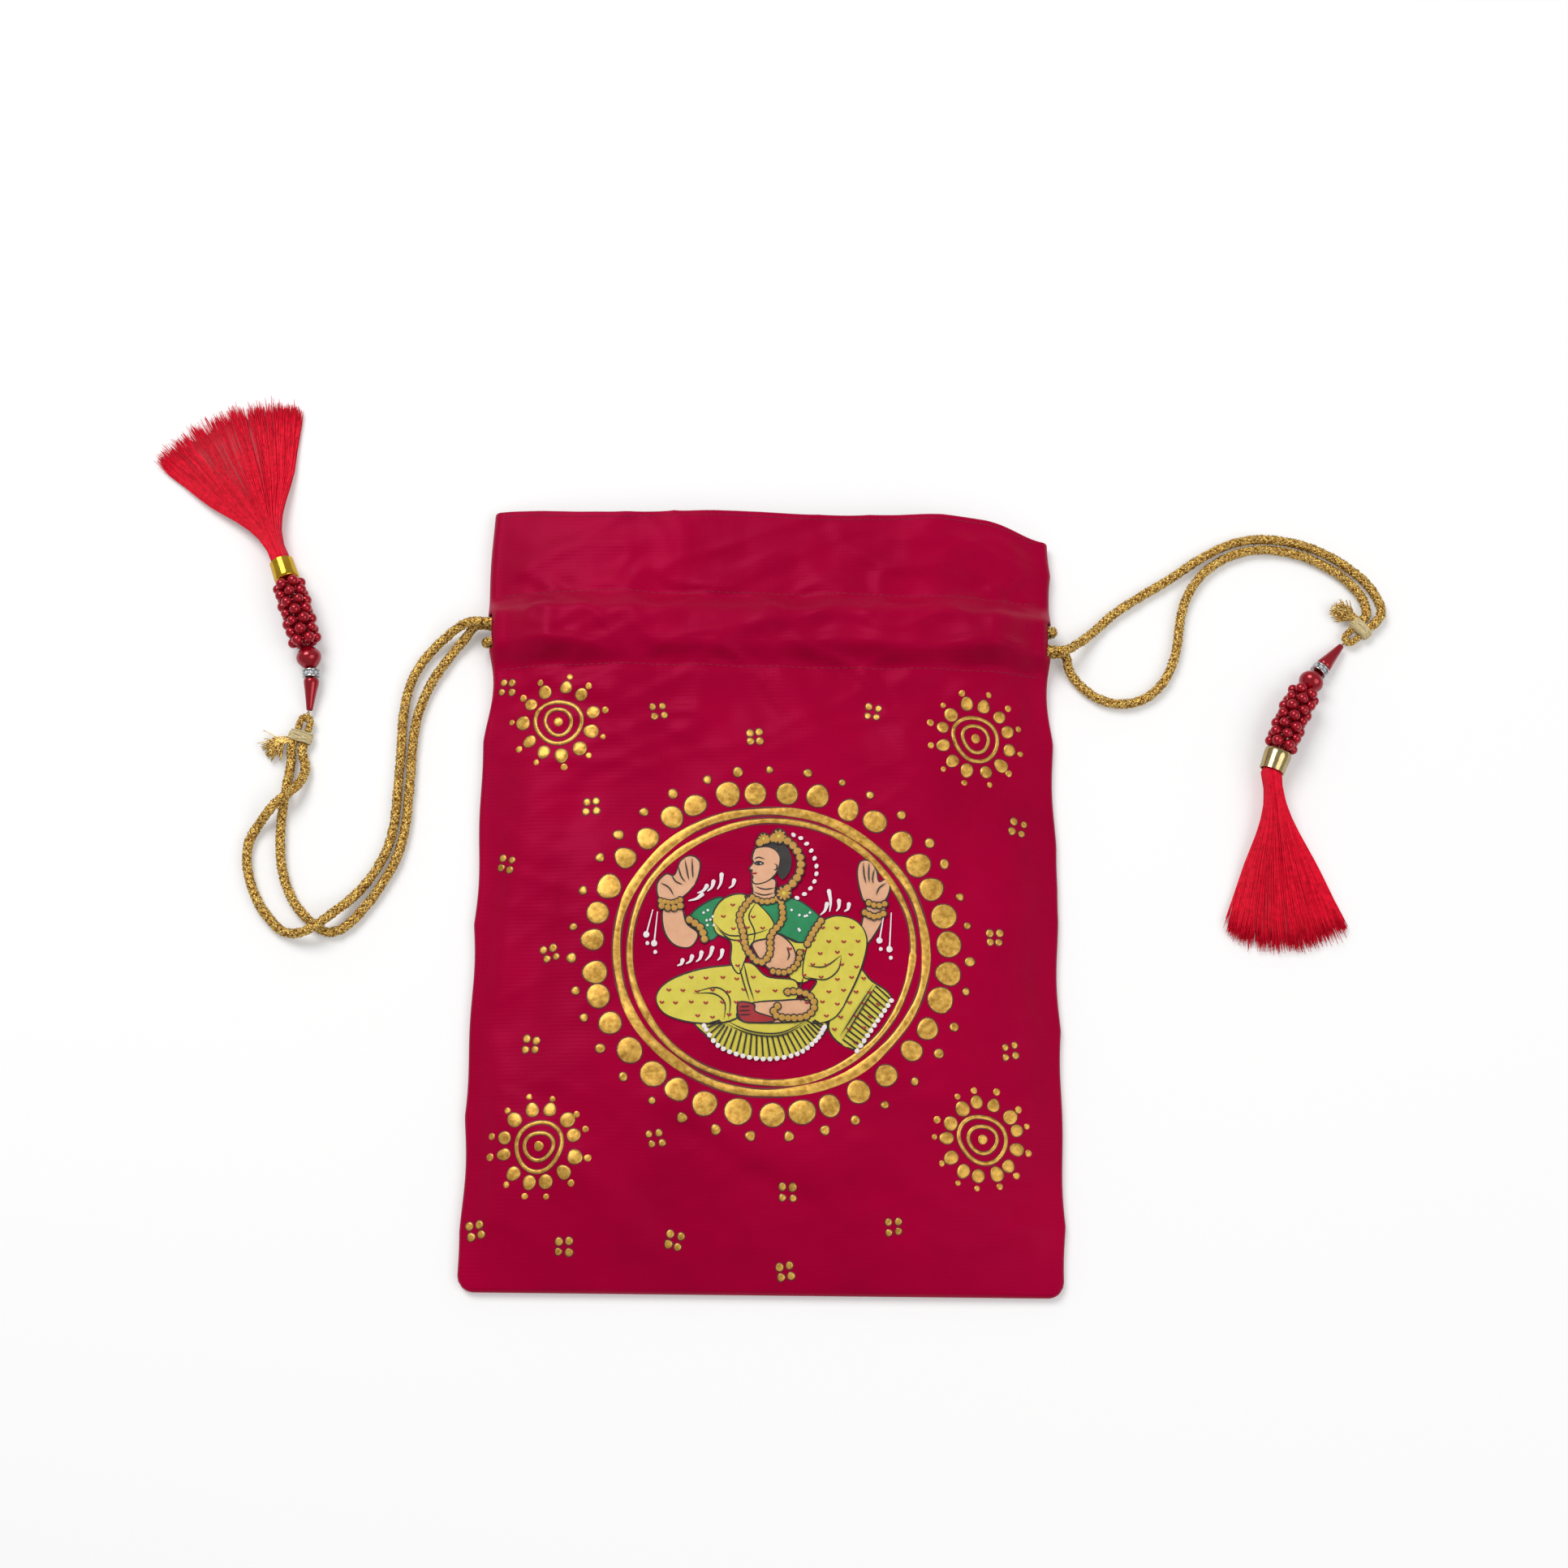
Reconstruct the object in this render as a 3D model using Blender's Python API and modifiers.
"""Potli bag: a flat drawstring pouch of satin cloth with two braided gold cords.

The bag lies flat on its back, as it comes to rest on a table. The origin is at the centre of
its footprint, X to the right, Y towards the mouth and Z up, all in metres. Each cord runs
round the channel under the mouth and ends in a tassel of pearls, a brass cap and silk.
"""
import math

import bmesh
import bpy
from mathutils import Matrix, Vector

# Bag cloth
BAG_WIDTH = 0.178
BAG_LENGTH = 0.241
CLOTH = 0.0006
BODY_HEIGHT = 0.0116
HEADING_HEIGHT = 0.0122
BODY_EDGE = 0.0015
HEADING_EDGE = 0.0026
CORNER_RADIUS = 0.005
SIDE_RISE = 0.040
BOTTOM_RISE = 0.045
MOUTH_DROOP = 0.005
DROOP_WIDTH = 0.022

# Drawstring channel under the mouth
HEADING = 0.0275
CHANNEL = 0.024
CHANNEL_SHOULDER = 0.005
FACING_HEM = 0.003
FACING_GAP = 0.0003
STIFFENING = 0.012
NECK_OPENING = 0.0050

# Cords
CORD = 0.0030
CLEARANCE = 0.0003
LANE_SPACING = 0.0065
LOOP_REACH = 0.0042
LOOP_RISE = 0.0027
EXIT_REACH = 0.0010
STRAND_SPACING = 0.0040
SLOT_MARGIN = 0.0009
TUNNEL_SLACK = 0.0003
END_LOOP_CORD = 0.0022
END_LOOP_RADIUS = 0.0016
END_LOOP_LENGTH = 0.0048
EYE_WIRE = 0.00042

# Cord ends
TIE_LENGTH = 0.0036
TIE_WRAP = 0.0006
TUFT_LENGTH = 0.0075

# Tassels
CORE_WIRE = 0.0008
BORE_CLEARANCE = 0.00045
CONE_LENGTH = 0.0102
CONE_BASE = 0.0048
CONE_TIP = 0.0020
RONDELLE = 0.0054
RONDELLE_LENGTH = 0.0025
BIG_BEAD = 0.0078
BIG_BEAD_LENGTH = 0.0073
PEARL = 0.0034
PEARL_PITCH = 0.0037
PEARLS_AROUND = 6
PEARL_ROWS = 7
ROW_PITCH = 0.0031
PEARL_NECK = 0.0009
CAP_WALL = 0.0005
CAP_LENGTH = 0.0068
SKIRT_EDGE = 0.0022

# Creases of the front cloth: two ends, half width and height, all in metres
CREASES = (
    ((-0.086, 0.064), (-0.030, 0.048), 0.009, 0.0020),
    ((-0.060, 0.100), (-0.020, 0.062), 0.009, 0.0015),
    ((-0.020, 0.058), (0.026, 0.020), 0.010, 0.0017),
    ((0.030, 0.098), (0.052, 0.056), 0.009, 0.0015),
    ((0.086, 0.062), (0.050, 0.026), 0.010, 0.0018),
    ((-0.086, 0.020), (-0.058, -0.040), 0.011, 0.0015),
    ((0.060, -0.006), (0.084, -0.070), 0.011, 0.0015),
    ((-0.062, -0.064), (-0.006, -0.096), 0.011, 0.0018),
    ((0.012, -0.074), (0.066, -0.098), 0.011, 0.0015),
)

HALF_WIDTH = BAG_WIDTH / 2
HALF_LENGTH = BAG_LENGTH / 2
CHANNEL_TOP = HALF_LENGTH - HEADING
CHANNEL_FOOT = CHANNEL_TOP - CHANNEL
CHANNEL_MIDDLE = CHANNEL_TOP - CHANNEL / 2
FOLD_DEPTH = 2 * CLOTH + FACING_GAP
TUNNEL_DEPTH = 2 * CLOTH + CORD + 2 * CLEARANCE + 2 * TUNNEL_SLACK
CORD_DEPTH = TUNNEL_DEPTH / 2
CHANNEL_EDGE = CORD_DEPTH + LOOP_RISE
CHANNEL_HEIGHT = 2 * TUNNEL_DEPTH + NECK_OPENING
CORD_REST = CORD / 2 + CLEARANCE
COLUMNS = 6
COLUMN = (HALF_WIDTH - CHANNEL_EDGE) / COLUMNS

BAG_BLUSH = (0.36, 0.0, 0.035)
GOLD_THREAD = (0.52, 0.32, 0.06)
CREAM_THREAD = (0.72, 0.66, 0.48)
PEARL_RED = (0.50, 0.005, 0.02)
BRASS = (0.83, 0.62, 0.22)
SILVER = (0.78, 0.77, 0.76)
SILK_RED = (0.70, 0.004, 0.03)


def material(name, colour, roughness, metallic=0.0):
    """A Principled material of one plain finish."""
    finish = bpy.data.materials.new(name)
    finish.use_nodes = True
    shader = finish.node_tree.nodes["Principled BSDF"]
    shader.inputs["Base Color"].default_value = (*colour, 1.0)
    shader.inputs["Roughness"].default_value = roughness
    shader.inputs["Metallic"].default_value = metallic
    finish.diffuse_color = (*colour, 1.0)
    return finish


def smoothstep(value):
    """Rise smoothly from 0 to 1 as the value goes from 0 to 1."""
    value = min(1.0, max(0.0, value))
    return value * value * (3.0 - 2.0 * value)


def swell(y):
    """1 along the drawstring channel, 0 away from it, with a smooth shoulder each side."""
    return smoothstep((y - CHANNEL_FOOT) / CHANNEL_SHOULDER) * smoothstep(
        (CHANNEL_TOP - y) / CHANNEL_SHOULDER)


def between(low, high, y):
    """A size that goes from its body value to its heading value just below the facing's hem."""
    start = CHANNEL_FOOT - FACING_HEM - STIFFENING
    return low + (high - low) * smoothstep((y - start) / STIFFENING)


def edge_radius(y):
    """Radius of the bag's rounded side edge."""
    plain = between(BODY_EDGE, HEADING_EDGE, y)
    return plain + (CHANNEL_EDGE - plain) * swell(y)


def crown(y):
    """Outer height of the bag along its middle."""
    plain = between(BODY_HEIGHT, HEADING_HEIGHT, y)
    rise = math.sin(min(1.0, (y + HALF_LENGTH) / BOTTOM_RISE) * math.pi / 2)
    plain = 2 * BODY_EDGE + (plain - 2 * BODY_EDGE) * rise
    return plain + (CHANNEL_HEIGHT - plain) * swell(y)


def crease(x, y):
    """Height that the soft creases add to the front cloth."""
    height = 0.0
    for start, end, width, rise in CREASES:
        along = Vector(end) - Vector(start)
        offset = Vector((x, y)) - Vector(start)
        share = min(1.0, max(0.0, offset.dot(along) / along.length_squared))
        distance = (offset - along * share).length
        height += rise * math.exp(-(distance / width) ** 2)
    fade = smoothstep((HALF_WIDTH - abs(x)) / 0.030) * smoothstep((y + HALF_LENGTH) / 0.030)
    return height * fade * (1.0 - swell(y))


def front_height(x, y):
    """Outer height of the front cloth inside the rounded side edges."""
    edge = edge_radius(y)
    depth = max(0.0, HALF_WIDTH - edge - abs(x))
    pillow = math.sin(min(1.0, depth / SIDE_RISE) * math.pi / 2)
    ramp = min(1.0, depth / COLUMN)
    share = pillow + (ramp - pillow) * swell(y)
    return 2 * edge + (crown(y) - 2 * edge) * share + crease(x, y)


def footprint_half(y):
    """Half the bag's width at a row, less the round of its bottom corners."""
    rise = min(CORNER_RADIUS, y + HALF_LENGTH)
    return HALF_WIDTH - CORNER_RADIUS + math.sqrt(
        max(0.0, CORNER_RADIUS ** 2 - (CORNER_RADIUS - rise) ** 2))


def droop(x, y):
    """How far the mouth's right corner hangs back towards the channel."""
    corner = smoothstep((x - HALF_WIDTH + DROOP_WIDTH) / DROOP_WIDTH)
    return MOUTH_DROOP * corner * smoothstep((y - CHANNEL_TOP) / HEADING)


def cloth_point(x, y, inset, front):
    """A point of the cloth, inset from the bag's outer face, on its front or its back."""
    edge = edge_radius(y)
    narrow = footprint_half(y) / HALF_WIDTH
    depth = HALF_WIDTH - abs(x)
    if depth < edge:
        round_edge = math.sqrt(max(0.0, edge ** 2 - (edge - depth) ** 2)) / edge
        out = (edge - depth) / edge
        height = edge + (edge - inset) * round_edge * (1 if front else -1)
        x = math.copysign(HALF_WIDTH - edge + (edge - inset) * out, x)
    elif front:
        height = front_height(x, y) - inset
    else:
        height = inset
    close = min(1.0, (y + HALF_LENGTH) / BODY_EDGE)
    pinch = math.sqrt(max(0.0, 1 - (1 - close) ** 2))
    height = BODY_EDGE + (height - BODY_EDGE) * pinch
    return Vector((x * narrow, y - droop(x, y), height))


def column_places(y):
    """Places across the bag's width where the cloth has a fold line, from left to right."""
    edge = edge_radius(y)
    half = [HALF_WIDTH - edge * share for share in (0.0, 0.3, 1.0)]
    half += [COLUMN * step for step in range(COLUMNS - 1, -1, -1)]
    return [-place for place in half] + half[-2::-1]


def row_places():
    """Places along the cloth, from the bottom to the mouth and back down the facing."""
    bottom = [-HALF_LENGTH + BODY_EDGE * share for share in (0.0, 0.3, 1.0)]
    bottom += [-HALF_LENGTH + CORNER_RADIUS]
    body_rows = 13
    hem = CHANNEL_FOOT - FACING_HEM
    span = hem + HALF_LENGTH - CORNER_RADIUS
    body = [bottom[-1] + span * step / body_rows for step in range(1, body_rows + 1)]
    channel = [CHANNEL_FOOT]
    channel += [CHANNEL_FOOT + CHANNEL_SHOULDER / 2, CHANNEL_FOOT + CHANNEL_SHOULDER]
    channel += [CHANNEL_MIDDLE, CHANNEL_TOP - CHANNEL_SHOULDER]
    channel += [CHANNEL_TOP - CHANNEL_SHOULDER / 2, CHANNEL_TOP]
    lip = HALF_LENGTH - FOLD_DEPTH / 2
    heading = [CHANNEL_TOP + HEADING * 0.35, CHANNEL_TOP + HEADING * 0.7, lip]
    outside = [(y, 0.0) for y in bottom + body + channel + heading]
    fold = [(HALF_LENGTH, FOLD_DEPTH / 2)]
    back_down = heading[::-1] + channel[::-1] + [hem]
    tunnel = TUNNEL_DEPTH - FOLD_DEPTH
    facing = [(y, FOLD_DEPTH + tunnel * swell(y)) for y in back_down]
    return outside + fold + facing


def bag_cloth(group):
    """The cloth: one sheet closed round, folded at the bottom and turned in at the mouth."""
    rows = row_places()
    across = len(column_places(0.0)) - 1
    cells = bmesh.new()
    bmesh.ops.create_grid(cells, x_segments=2 * across, y_segments=len(rows) - 1, size=0.5)
    for vertex in cells.verts:
        column = round((vertex.co.x + 0.5) * 2 * across)
        row, inset = rows[round((vertex.co.y + 0.5) * (len(rows) - 1))]
        places = column_places(row)
        front = column <= across
        place = places[column if front else 2 * across - column]
        vertex.co = cloth_point(place, row, inset, front)
    bmesh.ops.remove_doubles(cells, verts=cells.verts, dist=0.00001)
    mesh = bpy.data.meshes.new("bag_body")
    cells.to_mesh(mesh)
    cells.free()
    mesh.shade_smooth()
    cloth = bpy.data.objects.new("bag_body", mesh)
    group.objects.link(cloth)
    wall = cloth.modifiers.new("Cloth thickness", "SOLIDIFY")
    wall.thickness = CLOTH
    wall.offset = -1.0
    wall.use_even_offset = True
    wall.use_quality_normals = True
    return cloth


def cut_slot(cloth, cutters, side):
    """Open the side of the channel where the cords come out."""
    high = CHANNEL_EDGE + STRAND_SPACING / 2 + CORD / 2 + SLOT_MARGIN
    low = CHANNEL_EDGE - STRAND_SPACING / 2 - CORD / 2 - SLOT_MARGIN
    long = LANE_SPACING + CORD + 2 * SLOT_MARGIN
    inner = HALF_WIDTH - TUNNEL_DEPTH + CLOTH + CLEARANCE
    depth = 2 * (HALF_WIDTH - inner)
    bpy.ops.mesh.primitive_cube_add(
        size=1.0, location=(side * (inner + depth / 2), CHANNEL_MIDDLE, (high + low) / 2))
    cutter = bpy.context.object
    cutter.name = "slot_cutter_left" if side < 0 else "slot_cutter_right"
    cutter.scale = (depth, long, high - low)
    cutter.hide_render = True
    cutter.display_type = "WIRE"
    for holder in list(cutter.users_collection):
        holder.objects.unlink(cutter)
    cutters.objects.link(cutter)
    cut = cloth.modifiers.new("Cord slot", "BOOLEAN")
    cut.operation = "DIFFERENCE"
    cut.solver = "EXACT"
    cut.object = cutter


def smooth_route(points, spacing):
    """Evenly spaced points on a smooth curve through the route's own points."""
    ends = [2 * points[0] - points[1]] + points + [2 * points[-1] - points[-2]]
    fine = []
    for before, start, end, after in zip(ends, ends[1:], ends[2:], ends[3:]):
        for step in range(24):
            share = step / 24
            fine.append(0.5 * (
                2 * start + (end - before) * share
                + (2 * before - 5 * start + 4 * end - after) * share ** 2
                + (3 * start - before - 3 * end + after) * share ** 3))
    fine.append(points[-1])
    return evenly(fine, spacing)


def evenly(fine, spacing):
    """Points at one spacing along a polyline, with both of its ends kept."""
    total = sum((b - a).length for a, b in zip(fine, fine[1:]))
    count = max(2, round(total / spacing))
    placed = [fine[0]]
    walked = 0.0
    for start, end in zip(fine, fine[1:]):
        step = (end - start).length
        while len(placed) < count and walked + step >= total * len(placed) / count:
            share = (total * len(placed) / count - walked) / step
            placed.append(start.lerp(end, share))
        walked += step
    placed.append(fine[-1])
    return placed


def tube(name, points, thickness, group, finish, radii=None, closed=False, sides=2):
    """A round cord or wire along its points, with filled ends unless it is closed."""
    curve = bpy.data.curves.new(name, "CURVE")
    curve.dimensions = "3D"
    curve.bevel_depth = thickness / 2
    curve.bevel_resolution = sides
    curve.use_fill_caps = not closed
    line = curve.splines.new("POLY")
    line.points.add(len(points) - 1)
    line.use_cyclic_u = closed
    line.use_smooth = True
    for index, point in enumerate(points):
        line.points[index].co = (*point, 1.0)
        line.points[index].radius = radii[index] if radii else 1.0
    curve.materials.append(finish)
    cord = bpy.data.objects.new(name, curve)
    group.objects.link(cord)
    return cord


def held_route(lane, side):
    """Route of a cord round the channel: in at one side, a loop at the other, and back."""
    inner = HALF_WIDTH - CHANNEL_EDGE
    steps = 2 * COLUMNS
    exit_high = CHANNEL_EDGE + STRAND_SPACING / 2
    exit_low = CHANNEL_EDGE - STRAND_SPACING / 2
    out = HALF_WIDTH + EXIT_REACH
    inside = HALF_WIDTH - EXIT_REACH
    points = [Vector((side * place, lane, exit_high)) for place in (out, inside)]
    for step in range(steps + 1):
        x = inner * (1 - 2 * step / steps)
        points.append(Vector((side * x, lane, front_height(x, lane) - CORD_DEPTH)))
    reach = CHANNEL_EDGE - CORD_DEPTH + LOOP_REACH
    rise = CHANNEL_EDGE - CORD_DEPTH
    for step in range(1, 8):
        angle = math.pi * (0.5 - step / 8)
        points.append(Vector((
            -side * (inner + reach * math.cos(angle)), lane,
            CHANNEL_EDGE + rise * math.sin(angle))))
    for step in range(steps + 1):
        x = inner * (1 - 2 * step / steps)
        points.append(Vector((-side * x, lane, CORD_DEPTH)))
    points += [Vector((side * place, lane, exit_low)) for place in (inside, out)]
    return points


def lane_of(side):
    """Where a cord lies across the channel: the left one nearer the mouth."""
    return CHANNEL_MIDDLE - side * LANE_SPACING / 2


class Axis:
    """A tassel's own line, from its tie to its cap, with places given by distance along it."""

    def __init__(self, points):
        fine = smooth_route([Vector(point) for point in points], 0.0005)
        self.points = fine
        self.step = sum((b - a).length for a, b in zip(fine, fine[1:])) / (len(fine) - 1)

    def at(self, distance):
        index = min(len(self.points) - 2, max(0, int(distance / self.step)))
        return self.points[index].lerp(self.points[index + 1], distance / self.step - index)

    def frame(self, distance):
        """Matrix whose Z runs along the line and whose X stays level."""
        along = (self.at(distance + 0.002) - self.at(distance - 0.002)).normalized()
        level = along.cross(Vector((0, 0, 1))).normalized()
        upright = along.cross(level)
        turn = Matrix((level, upright, along)).transposed().to_4x4()
        return Matrix.Translation(self.at(distance)) @ turn


def turned(name, profile, segments, place, group, finish):
    """A piece turned on the Z axis from a closed profile of radius and height pairs."""
    mesh = bpy.data.meshes.new(name)
    count = len(profile)
    edges = [(index, (index + 1) % count) for index in range(count)]
    mesh.from_pydata([(radius, 0.0, height) for radius, height in profile], edges, [])
    mesh.materials.append(finish)
    piece = bpy.data.objects.new(name, mesh)
    piece.matrix_world = place
    group.objects.link(piece)
    turn = piece.modifiers.new("Turning", "SCREW")
    turn.steps = segments
    turn.render_steps = segments
    turn.use_merge_vertices = True
    turn.merge_threshold = 0.00001
    turn.use_smooth_shade = True
    return piece


def round_profile(radius, bore, length, rounding):
    """Closed profile of a bored bead, from its top down its outer side, then up its bore."""
    outer = []
    for step in range(rounding + 1):
        height = length * (1 - step / rounding)
        swell_out = math.sin(math.pi * (0.14 + 0.72 * step / rounding))
        outer.append((radius * swell_out, height))
    return outer + [(bore, 0.0), (bore, length)]


def pearl_row(name, axis, middle, turn, group, finish):
    """One round of pearls, strung so that each meets the next on its thread."""
    place = axis.frame(middle)
    ring = PEARL_PITCH / (2 * math.sin(math.pi / PEARLS_AROUND))
    offsets = (-0.5, -0.2, 0.2)
    sizes = (PEARL_NECK / PEARL, 0.93, 0.93)
    points = []
    radii = []
    for pearl in range(PEARLS_AROUND):
        for offset, size in zip(offsets, sizes):
            angle = 2 * math.pi * (pearl + turn + offset) / PEARLS_AROUND
            points.append(place @ Vector((ring * math.cos(angle), ring * math.sin(angle), 0.0)))
            radii.append(size)
    return tube(name, points, PEARL, group, finish, radii, closed=True, sides=1)


def loft(name, rings, group, finish):
    """A closed solid through rings of points, with a flat cap at each end."""
    mesh = bpy.data.meshes.new(name)
    count = len(rings[0])
    faces = [tuple(range(count))[::-1]]
    for ring in range(len(rings) - 1):
        for index in range(count):
            after = (index + 1) % count
            low = ring * count
            faces.append((low + index, low + after, low + count + after, low + count + index))
    last = (len(rings) - 1) * count
    faces.append(tuple(last + index for index in range(count)))
    mesh.from_pydata([point for ring in rings for point in ring], [], faces)
    mesh.materials.append(finish)
    shell = bmesh.new()
    shell.from_mesh(mesh)
    bmesh.ops.recalc_face_normals(shell, faces=shell.faces)
    shell.to_mesh(mesh)
    shell.free()
    mesh.shade_smooth()
    piece = bpy.data.objects.new(name, mesh)
    group.objects.link(piece)
    return piece


def skirt(name, cap_seat, neck, length, heading, half_angle, group, finish):
    """The silk: a bundle out of the cap that lies down and opens into a flat fan."""
    around = 20
    turns = [2 * math.pi * index / around for index in range(around)]
    rings = []
    for depth in (CAP_WALL + 2 * CLEARANCE, CAP_LENGTH + CLEARANCE):
        rings.append([cap_seat @ Vector((
            -neck / 2 * math.cos(turn), -neck / 2 * math.sin(turn), depth)) for turn in turns])
    root = cap_seat @ Vector((0.0, 0.0, CAP_LENGTH + CLEARANCE))
    across = Vector((-math.cos(heading), -math.sin(heading), 0.0))
    for reach in (0.08, 0.18, 0.32, 0.50, 0.68, 0.86, 1.0):
        opened = smoothstep(reach * 1.15)
        thick = neck + (SKIRT_EDGE - neck) * smoothstep(reach * 1.25)
        middle = root.z + (SKIRT_EDGE / 2 + 0.0002 - root.z) * smoothstep(reach * 1.3)
        ring = []
        for turn in turns:
            flute = 1.0 + 0.10 * opened * math.cos(5 * turn)
            ray = heading + half_angle * opened * math.cos(turn)
            out = Vector((-math.sin(ray), math.cos(ray), 0.0))
            point = Vector((root.x, root.y, 0.0)) + out * (length * reach)
            point += across * (math.cos(turn) * neck / 2 * (1 - opened))
            point.z = max(0.0002, middle + math.sin(turn) * thick / 2 * flute)
            ring.append(point)
        rings.append(ring)
    return loft(name, rings, group, finish)


def tie(name, place, group, finish):
    """The binding: four turns of thread round both strands, drawn flat."""
    half = CORD / 2 + TIE_WRAP
    rings = []
    for step in range(7):
        swell_out = half if step % 2 else half - TIE_WRAP / 2
        ring = []
        for index in range(10):
            angle = 2 * math.pi * (index + 0.5) / 10
            aside = math.copysign(STRAND_SPACING / 2 - 0.0004, math.cos(angle))
            ring.append(place @ Vector((
                swell_out * math.cos(angle) + aside, swell_out * math.sin(angle) * 0.8,
                -TIE_LENGTH * (1 - step / 6))))
        rings.append(ring)
    return loft(name, rings, group, finish)


def tuft(name, start, heading, group, finish):
    """The cord's cut ends, combed out beside the tie."""
    rings = []
    for step, radius in enumerate((0.0009, 0.0016, 0.0020, 0.0012)):
        ring = []
        for index in range(10):
            angle = 2 * math.pi * index / 10
            fray = radius * (1.0 + (0.18 if index % 2 else -0.10) * step / 3)
            out = Vector((-math.sin(heading), math.cos(heading), 0.0))
            across = Vector((math.cos(heading), math.sin(heading), 0.0))
            point = start + out * TUFT_LENGTH * step / 3
            point += across * fray * math.cos(angle)
            point.z = start.z + fray * 0.75 * math.sin(angle)
            ring.append(point)
        rings.append(ring)
    return loft(name, rings, group, finish)


def tassel(side, data, group, finish):
    """Everything that hangs from a cord's tie: loop, eye, beads, pearls, cap and silk."""
    axis = Axis(data["axis"])
    reach = END_LOOP_LENGTH
    loop_points = [Vector((END_LOOP_RADIUS, 0.0, CLEARANCE))]
    for step in range(7):
        angle = math.pi * step / 6
        loop_points.append(Vector((
            END_LOOP_RADIUS * math.cos(angle), 0.0,
            reach - END_LOOP_RADIUS + END_LOOP_RADIUS * math.sin(angle))))
    loop_points.append(Vector((-END_LOOP_RADIUS, 0.0, CLEARANCE)))
    start = axis.frame(0.0)
    tube(f"end_loop_{side}", [start @ point for point in loop_points], END_LOOP_CORD,
         group, finish["gold"])
    tie(f"thread_tie_{side}", start, group, finish["cream"])

    eye_radius = END_LOOP_CORD / 2 + CLEARANCE + EYE_WIRE / 2
    eye_place = start @ Matrix.Translation((0.0, 0.0, reach))
    eye = [eye_place @ Vector((0.0, eye_radius * math.sin(turn), eye_radius * math.cos(turn)))
           for turn in (2 * math.pi * step / 12 for step in range(12))]
    tube(f"wire_eye_{side}", eye, EYE_WIRE, group, finish["brass"], closed=True, sides=1)

    place = reach + eye_radius + EYE_WIRE / 2 + CLEARANCE
    core_start = place + CLEARANCE
    bore = CORE_WIRE / 2 + BORE_CLEARANCE
    cone = [(CONE_TIP / 2, CONE_LENGTH), (CONE_TIP * 0.62, CONE_LENGTH * 0.8)]
    cone += [(CONE_BASE / 2, CONE_LENGTH * 0.12), (CONE_BASE * 0.42, 0.0)]
    cone += [(bore, 0.0), (bore, CONE_LENGTH)]
    flipped = axis.frame(place + CONE_LENGTH / 2) @ Matrix.Translation((0, 0, CONE_LENGTH / 2))
    flipped = flipped @ Matrix.Rotation(math.pi, 4, "X")
    turned(f"cone_bead_{side}", cone, 12, flipped, group, finish["pearl"])
    place += CONE_LENGTH + CLEARANCE

    half = RONDELLE / 2
    rim = [(half * 0.8, RONDELLE_LENGTH), (half, RONDELLE_LENGTH * 0.8)]
    rim += [(half * 0.9, RONDELLE_LENGTH * 0.5), (half, RONDELLE_LENGTH * 0.2)]
    rim += [(half * 0.8, 0.0), (bore, 0.0), (bore, RONDELLE_LENGTH)]
    middle = axis.frame(place + RONDELLE_LENGTH / 2)
    seat = middle @ Matrix.Translation((0, 0, -RONDELLE_LENGTH / 2))
    turned(f"rondelle_{side}", rim, 12, seat, group, finish["silver"])
    place += RONDELLE_LENGTH + CLEARANCE

    big = round_profile(BIG_BEAD / 2, bore, BIG_BEAD_LENGTH, 5)
    middle = axis.frame(place + BIG_BEAD_LENGTH / 2)
    seat = middle @ Matrix.Translation((0, 0, -BIG_BEAD_LENGTH / 2))
    turned(f"big_bead_{side}", big, 12, seat, group, finish["pearl"])
    place += BIG_BEAD_LENGTH + CLEARANCE

    first = place + PEARL / 2
    for row in range(PEARL_ROWS):
        pearl_row(f"pearl_row_{side}_{row + 1}", axis, first + row * ROW_PITCH, row % 2 / 2,
                  group, finish["pearl"])
    place = first + (PEARL_ROWS - 1) * ROW_PITCH + PEARL / 2 + CLEARANCE

    wide = data["cap"] / 2
    mouth = data["cap_mouth"] / 2
    cup = [(mouth, CAP_LENGTH), (wide, CAP_LENGTH * 0.25), (wide * 0.93, 0.0)]
    cup += [(bore, 0.0), (bore, CAP_WALL), (wide * 0.93 - CAP_WALL, CAP_WALL)]
    cup += [(wide - CAP_WALL, CAP_LENGTH * 0.3), (mouth - CAP_WALL, CAP_LENGTH)]
    cap_seat = axis.frame(place + CAP_LENGTH / 2) @ Matrix.Translation((0, 0, -CAP_LENGTH / 2))
    turned(f"cap_{side}", cup, 14, cap_seat, group, finish["brass"])

    ring = PEARL_PITCH / (2 * math.sin(math.pi / PEARLS_AROUND))
    strung = ring - PEARL / 2 - CLEARANCE
    net_start = first - PEARL / 2
    net_end = place - 2 * CLEARANCE
    wire = [core_start + (net_start - core_start) * step / 9 for step in range(10)]
    net = [net_start + CLEARANCE / 2 + (net_end - net_start) * step / 7 for step in range(8)]
    thick = 2 * strung / CORE_WIRE
    core = [axis.at(distance) for distance in wire + net + [place, place + CAP_WALL]]
    radii = [1.0] * len(wire) + [thick] * len(net) + [1.0, 1.0]
    tube(f"core_thread_{side}", core, CORE_WIRE, group, finish["silk"], radii, sides=1)

    neck = 2 * (min(wide * 0.93, mouth) - CAP_WALL - CLEARANCE)
    skirt(f"silk_skirt_{side}", cap_seat, neck, data["skirt"], data["heading"],
          data["half_angle"], group, finish["silk"])
    tuft(f"frayed_end_{side}", Vector(data["tuft"]), data["tuft_heading"], group,
         finish["gold"])


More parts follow.
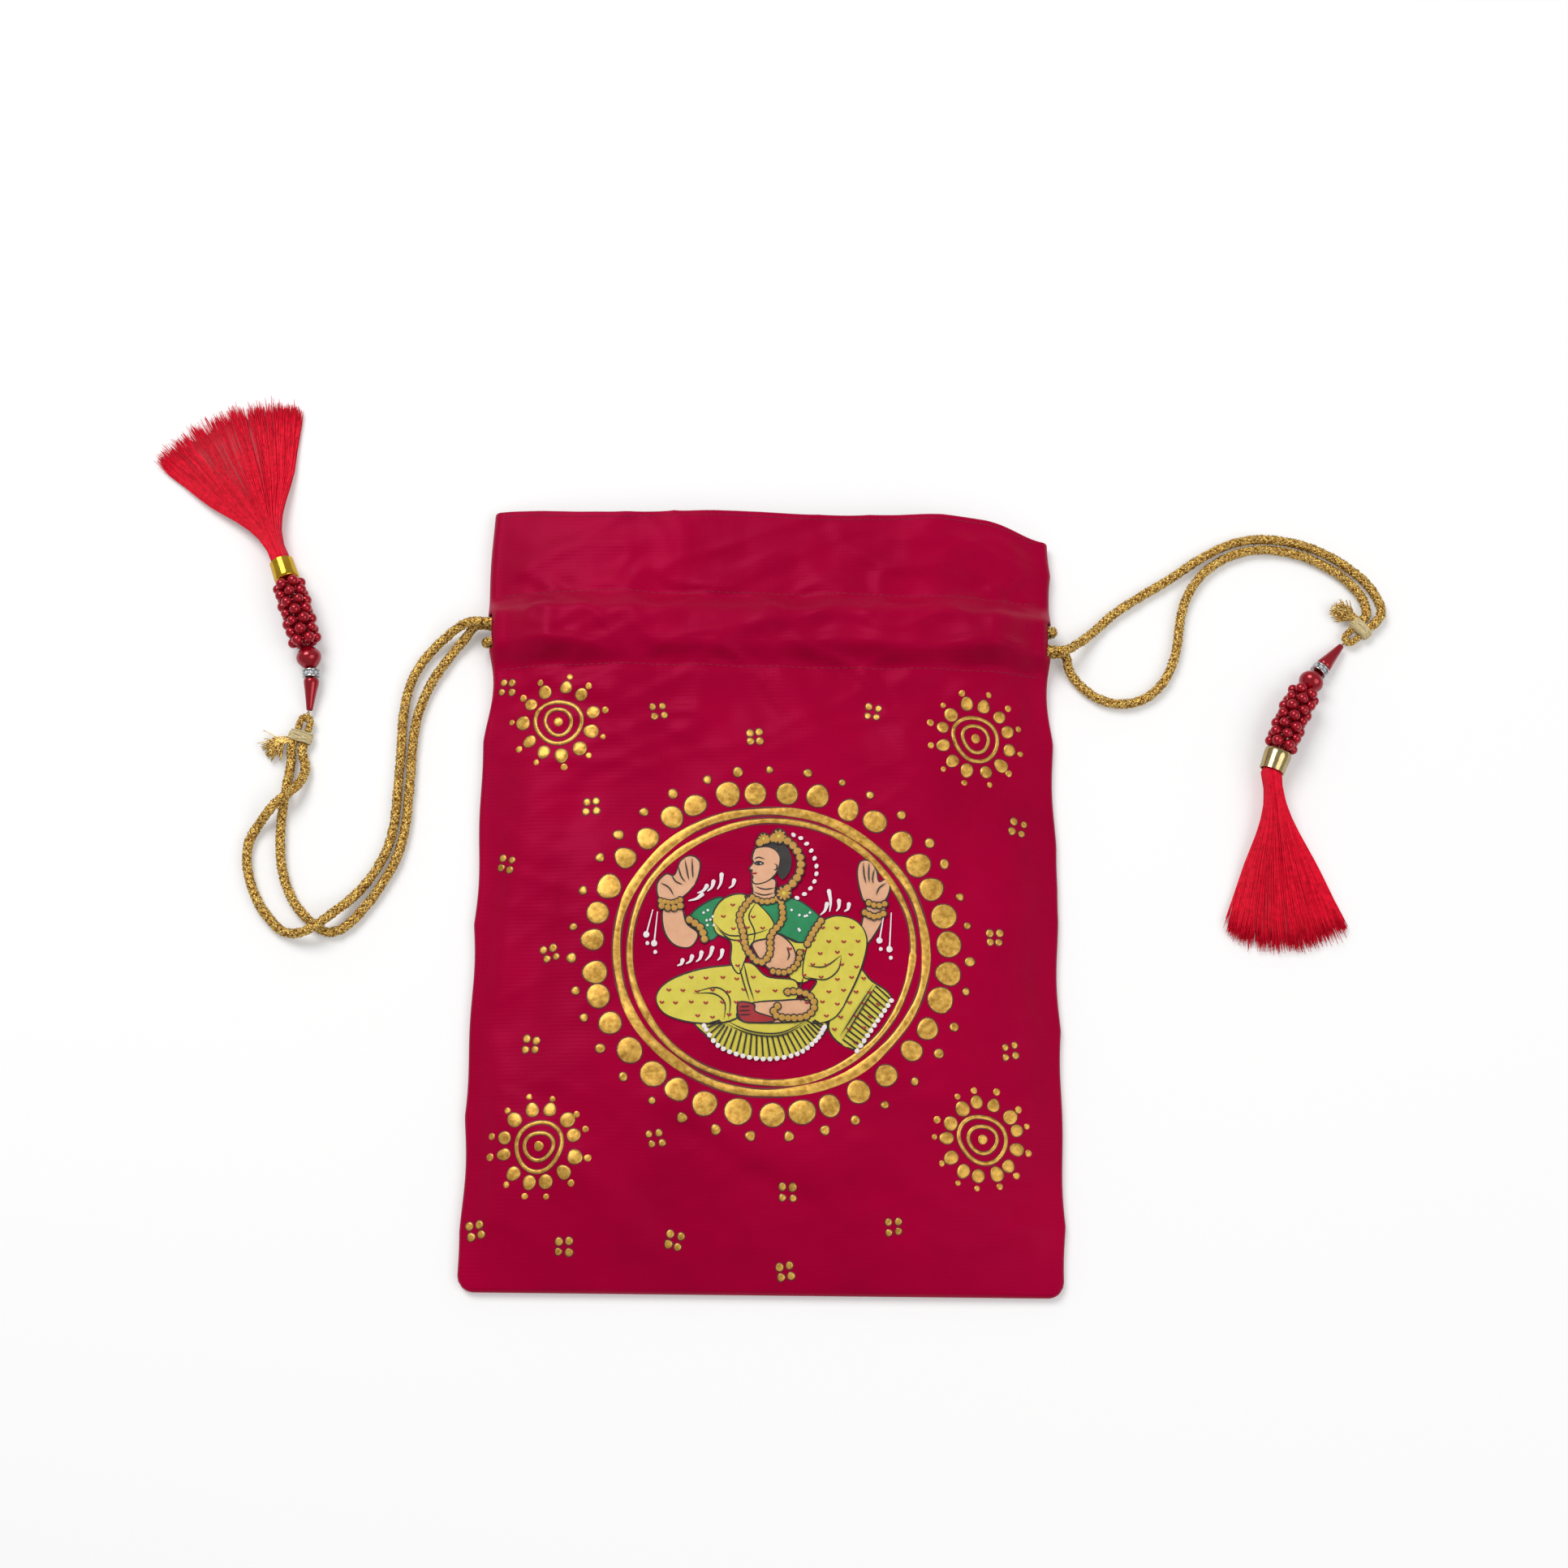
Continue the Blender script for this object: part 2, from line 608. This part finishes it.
LEFT = {
    "axis": ((-0.1448, 0.0490, 0.0022), (-0.1432, 0.0560, 0.0024), (-0.1431, 0.0666, 0.0034),
             (-0.1443, 0.0734, 0.0043), (-0.1475, 0.0840, 0.0058), (-0.1519, 0.0968, 0.0058),
             (-0.1563, 0.1080, 0.0045)),
    "cap": 0.0078, "cap_mouth": 0.0076, "skirt": 0.058, "heading": math.radians(25),
    "half_angle": math.radians(27), "tuft": (-0.1502, 0.0462, 0.0020),
    "tuft_heading": math.radians(128),
    "strands": (
        ((-0.0960, 0.0838, 0.0062), (-0.1010, 0.0808, 0.0036), (-0.1062, 0.0760, CORD_REST),
         (-0.1100, 0.0705, CORD_REST), (-0.1126, 0.0640, CORD_REST),
         (-0.1139, 0.0545, CORD_REST), (-0.1140, 0.0445, CORD_REST),
         (-0.1143, 0.0330, CORD_REST), (-0.1149, 0.0190, CORD_REST),
         (-0.1172, 0.0100, CORD_REST), (-0.1212, 0.0025, CORD_REST),
         (-0.1262, -0.0038, 0.0022), (-0.1312, -0.0090, 0.0050), (-0.1358, -0.0130, 0.0058),
         (-0.1408, -0.0152, 0.0042), (-0.1462, -0.0146, 0.0020),
         (-0.1512, -0.0102, CORD_REST), (-0.1560, -0.0030, CORD_REST),
         (-0.1588, 0.0060, CORD_REST), (-0.1588, 0.0135, CORD_REST),
         (-0.1563, 0.0185, 0.0022), (-0.1528, 0.0226, 0.0050), (-0.1496, 0.0262, 0.0055),
         (-0.1456, 0.0300, 0.0044), (-0.1434, 0.0345, 0.0024), (-0.1434, 0.0390, 0.0020)),
        ((-0.0948, 0.0815, 0.0029), (-0.0988, 0.0765, 0.0018), (-0.1025, 0.0712, CORD_REST),
         (-0.1060, 0.0650, CORD_REST), (-0.1085, 0.0585, CORD_REST),
         (-0.1101, 0.0510, CORD_REST), (-0.1106, 0.0420, CORD_REST),
         (-0.1108, 0.0310, CORD_REST), (-0.1114, 0.0190, CORD_REST),
         (-0.1136, 0.0088, CORD_REST), (-0.1178, 0.0002, CORD_REST),
         (-0.1228, -0.0072, CORD_REST), (-0.1280, -0.0128, CORD_REST),
         (-0.1330, -0.0146, CORD_REST), (-0.1378, -0.0118, CORD_REST),
         (-0.1424, -0.0072, CORD_REST), (-0.1462, -0.0008, CORD_REST),
         (-0.1486, 0.0072, CORD_REST), (-0.1494, 0.0160, CORD_REST),
         (-0.1492, 0.0245, CORD_REST), (-0.1486, 0.0310, CORD_REST),
         (-0.1480, 0.0355, CORD_REST), (-0.1476, 0.0395, 0.0020)),
    ),
}
RIGHT = {
    "axis": ((0.1862, 0.0872, 0.0022), (0.1812, 0.0826, 0.0022), (0.1746, 0.0752, 0.0031),
             (0.1703, 0.0698, 0.0042), (0.1638, 0.0585, 0.0058), (0.1586, 0.0465, 0.0058),
             (0.1545, 0.0360, 0.0047)),
    "cap": 0.0084, "cap_mouth": 0.0078, "skirt": 0.056, "heading": math.radians(184),
    "half_angle": math.radians(21), "tuft": (0.1852, 0.0922, 0.0020),
    "tuft_heading": math.radians(62),
    "strands": (
        ((0.0945, 0.0790, 0.0062), (0.0988, 0.0825, 0.0036), (0.1035, 0.0870, CORD_REST),
         (0.1080, 0.0912, CORD_REST), (0.1135, 0.0953, CORD_REST), (0.1195, 0.0993, CORD_REST),
         (0.1255, 0.1030, CORD_REST), (0.1312, 0.1070, CORD_REST), (0.1368, 0.1110, CORD_REST),
         (0.1428, 0.1145, CORD_REST), (0.1490, 0.1171, CORD_REST), (0.1560, 0.1184, CORD_REST),
         (0.1640, 0.1180, CORD_REST), (0.1718, 0.1162, CORD_REST), (0.1790, 0.1130, CORD_REST),
         (0.1850, 0.1090, CORD_REST), (0.1901, 0.1044, CORD_REST), (0.1936, 0.0990, CORD_REST),
         (0.1948, 0.0938, 0.0019)),
        ((0.0940, 0.0730, 0.0026), (0.0968, 0.0690, 0.0017), (0.1005, 0.0655, CORD_REST),
         (0.1050, 0.0630, CORD_REST), (0.1100, 0.0621, CORD_REST), (0.1150, 0.0628, CORD_REST),
         (0.1198, 0.0652, CORD_REST), (0.1240, 0.0695, CORD_REST), (0.1270, 0.0752, CORD_REST),
         (0.1288, 0.0815, CORD_REST), (0.1298, 0.0880, CORD_REST), (0.1312, 0.0945, CORD_REST),
         (0.1338, 0.1005, CORD_REST), (0.1380, 0.1062, CORD_REST), (0.1435, 0.1106, CORD_REST),
         (0.1500, 0.1136, CORD_REST), (0.1570, 0.1149, CORD_REST), (0.1640, 0.1144, CORD_REST),
         (0.1708, 0.1127, CORD_REST), (0.1772, 0.1098, CORD_REST), (0.1826, 0.1062, CORD_REST),
         (0.1866, 0.1022, CORD_REST), (0.1891, 0.0985, CORD_REST), (0.1897, 0.0955, 0.0018)),
    ),
}


def free_strands(side, data, direction, group, finish):
    """The two strands of a cord, from the slot in the bag's side to the thread tie."""
    tie_start = Axis(data["axis"]).frame(0.0) @ Matrix.Translation((0, 0, -TIE_LENGTH))
    start_x = direction * (HALF_WIDTH + EXIT_REACH + CLEARANCE)
    lift = STRAND_SPACING / 2
    straight = direction * CORD
    for number, route in enumerate(data["strands"], start=1):
        height = CHANNEL_EDGE + (lift if number == 1 else -lift)
        first = [Vector((start_x + out, lane_of(direction), height)) for out in (0.0, straight)]
        aside = (CORD / 2 + CLEARANCE / 2) * (-direction if number == 1 else direction)
        last = [tie_start @ Vector((aside, 0.0, -back)) for back in (CORD, CLEARANCE)]
        bends = [first[1]] + [Vector(point) for point in route] + [last[0]]
        points = [first[0]] + smooth_route(bends, 2.1 * CORD) + [last[1]]
        tube(f"cord_{side}_strand_{number}", points, CORD, group, finish["gold"])


def build():
    """Make the whole bag in an emptied scene."""
    for thing in list(bpy.data.objects):
        bpy.data.objects.remove(thing)
    scene = bpy.context.scene
    bag = bpy.data.collections.new("Potli bag")
    cutters = bpy.data.collections.new("Cutters")
    scene.collection.children.link(bag)
    scene.collection.children.link(cutters)
    finish = {
        "cloth": material("Satin cloth", BAG_BLUSH, 0.45),
        "gold": material("Gold braid", GOLD_THREAD, 0.35, 0.8),
        "cream": material("Cream thread", CREAM_THREAD, 0.8),
        "pearl": material("Red pearl", PEARL_RED, 0.2),
        "brass": material("Brass", BRASS, 0.2, 1.0),
        "silver": material("Silver", SILVER, 0.2, 1.0),
        "silk": material("Red silk", SILK_RED, 0.5),
    }
    cloth = bag_cloth(bag)
    cloth.data.materials.append(finish["cloth"])
    for direction in (-1, 1):
        cut_slot(cloth, cutters, direction)
    for side, data, direction in (("left", LEFT, -1), ("right", RIGHT, 1)):
        tube(f"cord_{side}_in_channel", held_route(lane_of(direction), direction), CORD, bag,
             finish["gold"])
        free_strands(side, data, direction, bag, finish)
        tassel(side, data, bag, finish)


build()
